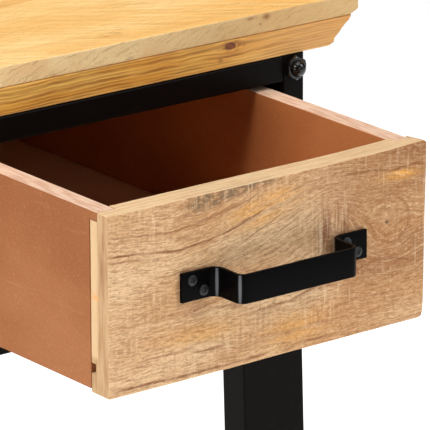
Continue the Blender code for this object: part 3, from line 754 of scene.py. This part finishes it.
def evaluated(piece):
    """Make an object's modifiers permanent."""
    graph = bpy.context.evaluated_depsgraph_get()
    mesh = bpy.data.meshes.new_from_object(piece.evaluated_get(graph))
    piece.modifiers.clear()
    piece.data = mesh
    return piece


def smooth(mesh, degrees):
    mesh.shade_smooth()
    mesh.set_sharp_from_angle(angle=math.radians(degrees))


def stations(length, cell, arris):
    """Positions of a lattice's planes: close together in the rounded edge, even between them."""
    edge = [0.0, arris * 0.30, arris * 0.65, arris]
    count = max(1, round((length - 2 * arris) / cell))
    inner = [arris + (length - 2 * arris) * step / count for step in range(1, count)]
    return edge + inner + [length - place for place in reversed(edge)]


def lattice_block(name, low, high, cells, arris, move):
    """Closed block of small quads with rounded edges; move() then shifts each point."""
    size = high - low
    lines = [stations(size[axis], cells[axis], arris) for axis in range(3)]
    counts = [len(line) for line in lines]
    shape = bmesh.new()
    corners = {}

    def corner(index):
        if index not in corners:
            point = Vector([lines[axis][index[axis]] for axis in range(3)])
            inner = Vector([min(max(point[k], arris), size[k] - arris) for k in range(3)])
            outward = point - inner
            if outward.length > 0:
                point = inner + outward.normalized() * arris
            corners[index] = shape.verts.new(move(point + low))
        return corners[index]

    for axis in range(3):
        first, second = (axis + 1) % 3, (axis + 2) % 3
        for end in (0, counts[axis] - 1):
            for i in range(counts[first] - 1):
                for j in range(counts[second] - 1):
                    ring = []
                    for step_i, step_j in ((0, 0), (1, 0), (1, 1), (0, 1)):
                        index = [0, 0, 0]
                        index[axis] = end
                        index[first] = i + step_i
                        index[second] = j + step_j
                        ring.append(corner(tuple(index)))
                    if end == 0:
                        ring.reverse()
                    shape.faces.new(ring)
    return finished(shape, name)


def between(value, table):
    """Straight-line interpolation in a table of (position, amount)."""
    for (start, first), (end, second) in zip(table, table[1:]):
        if value <= end:
            share = max(0.0, (value - start) / (end - start))
            return first + (second - first) * share
    return table[-1][1]


def make_tabletop(upper_wood, lower_wood):
    """Two boards. Both ends are undercut by a rough saw cut that runs through the two layers."""
    upper_low, upper_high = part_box("tabletop_upper_board")
    half = (upper_high.x - upper_low.x) / 2
    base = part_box("tabletop_lower_board")[0].z
    front = upper_low.y

    def worn(point):
        """Small unevenness of hand-worked boards."""
        wave = noise.noise(Vector((point.x * 18, point.y * 18, point.z * 90))) * 0.00025
        bite = noise.noise(Vector((point.x * 75, point.y * 75, point.z * 260))) * 0.00018
        return wave + bite

    def shaped(point):
        side = 1 if point.x > 0 else -1
        reach = abs(point.x)
        inner = half - END_REACH
        point = point.copy()
        if reach > inner:
            share = (reach - inner) / END_REACH
            height = point.z - base
            rough = noise.noise(Vector((side * 7 + point.y * 90, height * 700, 3.1)))
            coarse = noise.noise(Vector((side * 3 + point.y * 28, height * 240, 9.7)))
            inset = between(height, END_PROFILE)
            torn = END_ROUGH * rough + END_COARSE * coarse
            if inset < END_SQUARE:  # the square part above the cut is almost smooth
                torn = torn * 0.15 - 0.0002
            point.x = side * (inner + share * (END_REACH - inset + torn - END_MARGIN))
        if abs(point.y - front) < ON_FACE:
            point.y += FACE_SETBACK + worn(point)
        return point

    for name, node, setback, material, slot in (
        ("top_board", "tabletop_upper_board", 0.0, upper_wood, "mango_top"),
        ("under_board", "tabletop_lower_board", LOWER_SETBACK, lower_wood, "mango_edge"),
    ):
        low, high = (corner.copy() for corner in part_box(node))
        low.x, high.x = -half, half
        low.y += setback
        high.y -= setback
        cells = (TOP_CELL, TOP_CELL, LAYER_CELL)
        mesh = lattice_block(name, low, high, cells, BOARD_ARRIS, shaped)
        smooth(mesh, CURVE_ANGLE)
        link_piece(name, mesh, TABLE, material, slot, node)


def box_cutter(low, high):
    shape = bmesh.new()
    bmesh.ops.create_cube(shape, size=1.0)
    bmesh.ops.scale(shape, vec=high - low, verts=shape.verts)
    bmesh.ops.translate(shape, vec=(low + high) / 2, verts=shape.verts)
    return add_object("cutter", finished(shape, "cutter"))


def combine(piece, operation, tool):
    change = piece.modifiers.new(operation.lower(), "BOOLEAN")
    change.operation = operation
    change.object = tool


def subtract(piece, tools):
    for tool in tools:
        combine(piece, "DIFFERENCE", tool)
    evaluated(piece)
    for tool in tools:
        bpy.data.objects.remove(tool, do_unlink=True)


def make_drawer_front(material):
    """Board with worn arrises, a groove for the bottom and a notch for the tongue of each side."""
    low, high = (corner.copy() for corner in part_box("drawer_front"))
    side_low, side_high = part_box("drawer_right_side")
    bottom_low, bottom_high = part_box("drawer_bottom")
    low.z, high.z = side_low.z, side_high.z
    high.x = side_high.x
    length = high.x - low.x

    def worn(point):
        wave = noise.noise(Vector((point.x * 14, point.y * 40, point.z * 20)))
        nick = noise.noise(Vector((point.x * 120, point.y * 160, point.z * 120)))
        shift = 0.00020 * wave + 0.00008 * nick
        across = point.x - low.x
        up = point.z - low.z
        depth = (point.y - low.y) / (high.y - low.y)
        point = point.copy()
        if point.y < low.y + FRONT_CELL:
            point.y += FACE_SETBACK + shift
        share = up / (high.z - low.z)
        point.z += between(across, FRONT_TOP_EDGE) * share
        point.z += between(across, FRONT_LOW_EDGE) * (1 - share)
        ending = max(0.0, across - (length - FRONT_END_EASE)) / FRONT_END_EASE
        rear_ending = (across - (length - FRONT_REAR_EASE)) / (FRONT_REAR_EASE - FRONT_END_EASE)
        rear_ending = min(1.0, max(0.0, rear_ending)) * depth**2
        point.z -= share**4 * (ending**2 * FRONT_END_DROP + rear_ending * FRONT_REAR_DROP)
        point.z += ending**2 * (1 - share) ** 4 * FRONT_END_LIFT
        if share > 0.98 or share < 0.02:
            point.z += shift
        point.x += between(up, FRONT_RIGHT_END) * max(0.0, across / length)
        if across < FRONT_CELL or across > length - FRONT_CELL:
            point.x += shift
        return point

    cells = (FRONT_CELL, FRONT_CELL, FRONT_CELL)
    mesh = lattice_block("drawer_front_board", low, high, cells, FRONT_ARRIS, worn)
    piece = link_piece("drawer_front_board", mesh, DRAWER, material, "mango_front", "drawer_front")
    tools = [
        box_cutter(
            Vector((low.x - PAST, bottom_low.y - AIR, bottom_low.z - AIR)),
            Vector((high.x + PAST, high.y + PAST, bottom_high.z + AIR)),
        )
    ]
    left_low, left_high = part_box("drawer_left_side")
    for start, end in (
        (low.x - PAST, left_high.x + AIR),  # open at the left end of the board
        (side_low.x - AIR, side_high.x + AIR),
    ):
        tools.append(
            box_cutter(
                Vector((start, left_low.y - AIR, high.z - TONGUE_HEIGHT)),
                Vector((end, high.y + PAST, high.z + PAST)),
            )
        )
    subtract(piece, tools)
    smooth(piece.data, 38)


def softened(node, body, material, slot, width):
    """A copy of a CAD node with whole flat faces, eased edges and smooth curves."""
    shape = bmesh.new()
    shape.from_mesh(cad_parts[node].data)
    bmesh.ops.remove_doubles(shape, verts=shape.verts, dist=SAME_POINT)
    bmesh.ops.dissolve_limit(shape, angle_limit=FLAT_ANGLE, verts=shape.verts, edges=shape.edges)
    mesh = finished(shape, node + "_eased")
    piece = link_piece(node + "_eased", mesh, body, material, slot, node)
    ease = piece.modifiers.new("ease", "BEVEL")
    ease.width = width
    ease.segments = 2
    ease.limit_method = "ANGLE"
    ease.angle_limit = math.radians(CURVE_ANGLE)
    smooth(mesh, 60)
    even = piece.modifiers.new("even", "WEIGHTED_NORMAL")
    even.keep_sharp = True
    evaluated(piece)
    return piece


def loft(name, rings):
    """Closed solid through rings of points, with flat ends."""
    shape = bmesh.new()
    rings = [[shape.verts.new(point) for point in ring] for ring in rings]
    for first, second in zip(rings, rings[1:]):
        for k in range(len(first)):
            m = (k + 1) % len(first)
            shape.faces.new((first[k], first[m], second[m], second[k]))
    shape.faces.new(rings[0])
    shape.faces.new(list(reversed(rings[-1])))
    bmesh.ops.recalc_face_normals(shape, faces=shape.faces)
    return finished(shape, name)


def strip(name, centres, tangents, width, thickness, arris):
    """Flat bar swept along a path in plan, with eased long edges and closed ends."""
    half_w, half_t = width / 2, thickness / 2
    outline = []
    steps = 3
    for quarter, (sx, sy) in enumerate(((1, 1), (-1, 1), (-1, -1), (1, -1))):
        for step in range(steps + 1):
            angle = math.radians(90) * (quarter + step / steps)
            outline.append(
                (
                    sx * (half_t - arris) + arris * math.cos(angle),
                    sy * (half_w - arris) + arris * math.sin(angle),
                )
            )
    rings = []
    for centre, tangent in zip(centres, tangents):
        side = Vector((-tangent.y, tangent.x, 0))
        rings.append([centre + side * a + Vector((0, 0, b)) for a, b in outline])
    return loft(name, rings)


def make_handle(material):
    """Strap handle: two feet on the drawer front and a raised bar between two bends."""
    low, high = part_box("drawer_handle")
    width = high.z - low.z
    middle = (low + high) / 2
    half = (high.x - low.x) / 2
    foot_y = high.y - STRAP_THICKNESS / 2
    bar_y = low.y + STRAP_THICKNESS / 2
    riser = STRAP_BAR_HALF - STRAP_THICKNESS / 2
    half_path = []
    for step in range(FOOT_STEPS):
        run = (half - riser - FOOT_BEND) * step / FOOT_STEPS
        half_path.append((-half + run, foot_y, 0.0))
    for step in range(BEND_STEPS + 1):
        angle = math.radians(90 - 90 * step / BEND_STEPS)
        x = -riser - FOOT_BEND + FOOT_BEND * math.cos(angle)
        y = foot_y - FOOT_BEND + FOOT_BEND * math.sin(angle)
        half_path.append((x, y, angle - math.pi / 2))
    for step in range(BEND_STEPS + 1):
        angle = math.radians(180 + 90 * step / BEND_STEPS)
        x = -riser + BAR_BEND + BAR_BEND * math.cos(angle)
        y = bar_y + BAR_BEND + BAR_BEND * math.sin(angle)
        half_path.append((x, y, angle + math.pi / 2 - math.pi * 2))
    for step in range(1, BAR_STEPS):
        half_path.append(((-riser + BAR_BEND) * (1 - step / BAR_STEPS), bar_y, 0.0))
    path = half_path + [(-x, y, -turn) for x, y, turn in reversed(half_path)]
    centres = [Vector((middle.x + x, y, middle.z)) for x, y, _ in path]
    tangents = [Vector((math.cos(turn), math.sin(turn), 0)) for _, _, turn in path]
    mesh = strip("strap_handle", centres, tangents, width, STRAP_THICKNESS, STRAP_ARRIS)
    for point in mesh.vertices:
        wave = noise.noise(point.co * 60) * 0.00016 + noise.noise(point.co * 220) * 0.00006
        point.co.y += wave
        point.co.z += noise.noise(point.co * 75 + Vector((5, 0, 0))) * 0.00012
    smooth(mesh, CURVE_ANGLE)
    link_piece("strap_handle", mesh, DRAWER, material, "black_handle", "drawer_handle")


def lathe(profile, segments):
    """Solid of revolution about Z from (radius, height) points, outside first."""
    shape = bmesh.new()
    rings = []
    for radius, height in profile:
        if radius == 0:
            rings.append([shape.verts.new((0, 0, height))])
            continue
        ring = []
        for k in range(segments):
            angle = 2 * math.pi * k / segments
            point = (radius * math.cos(angle), radius * math.sin(angle), height)
            ring.append(shape.verts.new(point))
        rings.append(ring)
    for first, second in zip(rings, rings[1:]):
        for k in range(segments):
            m = (k + 1) % segments
            ring = [first[k % len(first)], second[k % len(second)]]
            ring += [second[m % len(second)], first[m % len(first)]]
            face = []
            for vert in ring:
                if vert not in face:
                    face.append(vert)
            shape.faces.new(face)
    bmesh.ops.recalc_face_normals(shape, faces=shape.faces)
    return finished(shape, "turned")


def make_handle_screws(material):
    """Pan heads with a cross recess, each turned to its own angle."""
    profile = [(0, HEAD_HEIGHT)]
    for step in range(1, HEAD_STEPS + 1):
        angle = math.radians(90) * step / HEAD_STEPS
        crown = HEAD_RIM + (1 - HEAD_RIM) * math.cos(angle) ** 0.75
        profile.append((HEAD_RADIUS * math.sin(angle) ** 0.8, HEAD_HEIGHT * crown))
    profile += [(HEAD_RADIUS, 0.0), (SHANK_RADIUS, 0.0)]
    profile += [(SHANK_RADIUS, -SHANK_LENGTH), (0, -SHANK_LENGTH)]
    for name, turn in SCREW_TURNS.items():
        node = "handle_screw_" + name
        low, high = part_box(node)
        centre = (low + high) / 2
        seat = Vector((centre.x, low.y + HEAD_HEIGHT, centre.z))
        blank = add_object("screw_blank", lathe(profile, 40))
        tools = []
        for quarter in (0, 1):
            reach, half_width, floor = CROSS_REACH, CROSS_WIDTH / 2, HEAD_HEIGHT - CROSS_DEPTH
            blade = box_cutter(
                Vector((-reach, -half_width, floor)), Vector((reach, half_width, floor + PAST))
            )
            blade.rotation_euler = (0, 0, math.pi / 2 * quarter)
            tools.append(blade)
        bpy.context.view_layer.update()
        subtract(blank, tools)
        mesh = blank.data
        bpy.data.objects.remove(blank, do_unlink=True)
        facing = Matrix.Translation(seat) @ Matrix.Rotation(math.pi / 2, 4, "X")
        mesh.transform(facing @ Matrix.Rotation(turn, 4, "Z"))
        smooth(mesh, 35)
        link_piece(node + "_cross", mesh, DRAWER, material, "screw_steel", node)


def bolt_mesh():
    """Dome nut about Z: a hexagon with turned-off corners, a collar and a smooth dome."""
    shape = bmesh.new()
    corner = NUT_FLATS / math.sqrt(3)
    bmesh.ops.create_cone(
        shape, cap_ends=True, segments=6, radius1=corner, radius2=corner, depth=HEXAGON_HEIGHT
    )
    bmesh.ops.translate(shape, vec=(0, 0, HEXAGON_HEIGHT / 2), verts=shape.verts)
    piece = add_object("bolt", finished(shape, "bolt_hexagon"))
    above, below = HEXAGON_HEIGHT + 0.0001, -0.001
    outside = corner * 1.02
    turned_off = [(0, above), (NUT_FLATS / 2 * 0.97, above)]
    turned_off += [(outside, HEXAGON_HEIGHT - NUT_TURNED_OFF), (outside, below), (0, below)]
    ease = piece.modifiers.new("ease", "BEVEL")
    ease.width = 0.0003
    ease.segments = 2
    limit = add_object("turned_off", lathe(turned_off, 48))
    combine(piece, "INTERSECT", limit)
    profile = [(0, NUT_HEIGHT)]
    for step in range(1, DOME_STEPS + 1):
        angle = math.radians(90) * step / DOME_STEPS
        rise = NUT_HEIGHT - DOME_RADIUS + DOME_RADIUS * math.cos(angle)
        profile.append((DOME_RADIUS * math.sin(angle), rise))
    sunk = HEXAGON_HEIGHT - 0.0006
    profile += [(DOME_RADIUS * 1.06, HEXAGON_HEIGHT + 0.0002), (DOME_RADIUS * 1.10, sunk)]
    profile += [(BOLT_RADIUS, sunk), (BOLT_RADIUS, -BOLT_LENGTH), (0, -BOLT_LENGTH)]
    cap = add_object("dome", lathe(profile, 40))
    combine(piece, "UNION", cap)
    evaluated(piece)
    mesh = piece.data
    for helper in (piece, limit, cap):
        bpy.data.objects.remove(helper, do_unlink=True)
    smooth(mesh, 32)
    return mesh


def make_bolts(material):
    base = bolt_mesh()
    for end, outward in (("front", -1), ("rear", 1)):
        for side in ("left", "right"):
            for level in ("top", "bottom"):
                node = f"bolt_{end}_{side}_{level}"
                low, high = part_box(node)
                centre = (low + high) / 2
                tip = low.y if outward < 0 else high.y
                seat = Vector((centre.x, tip - outward * NUT_HEIGHT, centre.z))
                mesh = base.copy()
                turn = Matrix.Rotation(-outward * math.pi / 2, 4, "X")
                mesh.transform(Matrix.Translation(seat) @ turn)
                link_piece(node + "_nut", mesh, TABLE, material, "black_steel", node)


def bead(name, start, end, material):
    """A short weld bead: overlapping lumps along a line, closed at both ends."""
    span = end - start
    direction = span.normalized()
    helper = Vector((0, 0, 1)) if abs(direction.z) < 0.9 else Vector((1, 0, 0))
    side = direction.cross(helper).normalized()
    lift = direction.cross(side)
    count = max(8, round(span.length / WELD_STEP))
    rings = []
    for k in range(count + 1):
        share = k / count
        centre = start + span * share
        taper = math.sqrt(max(0.0, 1 - (2 * share - 1) ** 6)) * 0.95 + 0.05
        ripple = 1 + 0.10 * math.sin(share * span.length / WELD_PITCH * 2 * math.pi)
        lump = 1 + 0.28 * noise.noise(centre * 420)
        ring = []
        for m in range(WELD_SIDES):
            angle = 2 * math.pi * m / WELD_SIDES
            outward = side * math.cos(angle) + lift * math.sin(angle)
            ring.append(centre + outward * (WELD_RADIUS * taper * ripple * lump))
        rings.append(ring)
    mesh = loft(name, rings)
    mesh.shade_smooth()
    link_piece(name, mesh, TABLE, material, "black_steel")


def make_welds(material):
    """Beads under each cross rail where it meets an upright."""
    for end in ("front", "rear"):
        for level, sign in (("top", -1), ("bottom", 1)):
            low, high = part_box(f"{end}_{level}_rail")
            z = low.z if sign < 0 else high.z
            for side, x in (("left", low.x), ("right", high.x)):
                start = Vector((x, low.y + WELD_INSET, z))
                finish = Vector((x, high.y - WELD_INSET, z))
                bead(f"weld_{end}_{side}_{level}", start, finish, material)


def make_steel_frame(steel, nut_steel, plastic):
    """The CAD's tubes, panels and runners with eased edges, the welds and the nuts."""
    nodes = ["back_panel"]
    for end in ("front", "rear"):
        nodes += [f"{end}_{level}_rail" for level in ("top", "bottom")]
        for side in ("left", "right"):
            nodes += [f"{end}_{side}_upright", f"{end}_{side}_leg"]
            softened(f"{end}_{side}_foot_cap", TABLE, plastic, "black_plastic", SOFT_STEEL)
    for side in ("left", "right"):
        nodes += [f"{side}_{part}" for part in ("top_rail", "bottom_rail", "side_panel", "runner")]
    for node in nodes:
        softened(node, TABLE, steel, "black_steel", SOFT_STEEL)
    make_welds(steel)
    make_bolts(nut_steel)


def make_drawer_box(fibreboard, hardboard):
    for node in ("drawer_left_side", "drawer_right_side", "drawer_back"):
        softened(node, DRAWER, fibreboard, "fibreboard", SOFT_BOARD)
    softened("drawer_bottom", DRAWER, hardboard, "bottom_board", SOFT_BOARD)


def make_floor():
    mesh = bpy.data.meshes.new("studio_floor")
    half = FLOOR_SIDE / 2
    corners = [(-half, -half, 0), (half, -half, 0), (half, half, 0), (-half, half, 0)]
    mesh.from_pydata(corners, [], [(0, 1, 2, 3)])
    floor = add_object("studio_floor", mesh)
    paint = Paint("studio_floor_paint")
    tone = paint.noise(paint.position, 0.7, detail=2)
    paint.colour = paint.mix(tone, (0.92, 0.92, 0.92), (0.90, 0.90, 0.90))
    material = paint.finish(0.9, 0.0)
    paint.shader.inputs["Emission Color"].default_value = (1, 1, 1, 1)
    paint.shader.inputs["Emission Strength"].default_value = FLOOR_GLOW
    mesh.materials.append(material)


def make_lights():
    for name, place, side, power in LIGHTS:
        light = bpy.data.lights.new(name, "AREA")
        light.shape = "SQUARE"
        light.size = side
        light.energy = power
        lamp = add_object(name, light)
        lamp.location = place
        direction = Vector(LIGHT_TARGET) - Vector(place)
        lamp.rotation_euler = direction.to_track_quat("-Z", "Y").to_euler()
    world = bpy.data.worlds.new("studio_air")
    bpy.context.scene.world = world
    world.use_nodes = True
    air = world.node_tree.nodes["Background"]
    air.inputs["Color"].default_value = (1, 1, 1, 1)
    air.inputs["Strength"].default_value = AIR_GLOW


def make_camera():
    corner = front_corner()
    aim = corner + Vector((AIM_ACROSS, 0, AIM_UP))
    toward = Vector(
        (
            math.cos(VIEW_ELEVATION) * math.sin(VIEW_AZIMUTH),
            -math.cos(VIEW_ELEVATION) * math.cos(VIEW_AZIMUTH),
            math.sin(VIEW_ELEVATION),
        )
    )
    data = bpy.data.cameras.new("camera")
    data.lens = LENS
    data.sensor_width = SENSOR
    data.clip_end = FAR_CLIP
    camera = add_object("camera", data)
    turn = (-toward).to_track_quat("-Z", "Y").to_matrix().to_4x4()
    roll = Matrix.Rotation(VIEW_ROLL, 4, "Z")
    camera.matrix_world = Matrix.Translation(aim + toward * VIEW_DISTANCE) @ turn @ roll
    bpy.context.scene.camera = camera


def build():
    steel = black_steel_paint("black_coat", srgb(15, 12, 11), 0.40, 0.04, 1300)
    nut_steel = black_steel_paint("black_coat_nuts", srgb(16, 14, 13), 0.19, 0.42, 900)
    # The handle's last argument is the share of the painted highlight on its bends
    handle = black_steel_paint("black_coat_handle", srgb(7, 6, 6), 0.30, 0.030, 700, 0.10, 0.80)
    plastic = plastic_paint()
    screw = screw_paint()
    make_tabletop(top_board_wood(), lower_board_wood())
    make_steel_frame(steel, nut_steel, plastic)
    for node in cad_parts:
        if node.startswith("tabletop_screw"):
            softened(node, TABLE, screw, "screw_steel", SOFT_SCREW)
    make_drawer_front(drawer_front_wood())
    make_drawer_box(fibreboard_paint(), bottom_board_paint())
    make_handle(handle)
    make_handle_screws(screw)
    make_floor()
    make_lights()
    make_camera()
    bpy.context.scene.view_settings.view_transform = "Standard"


build()
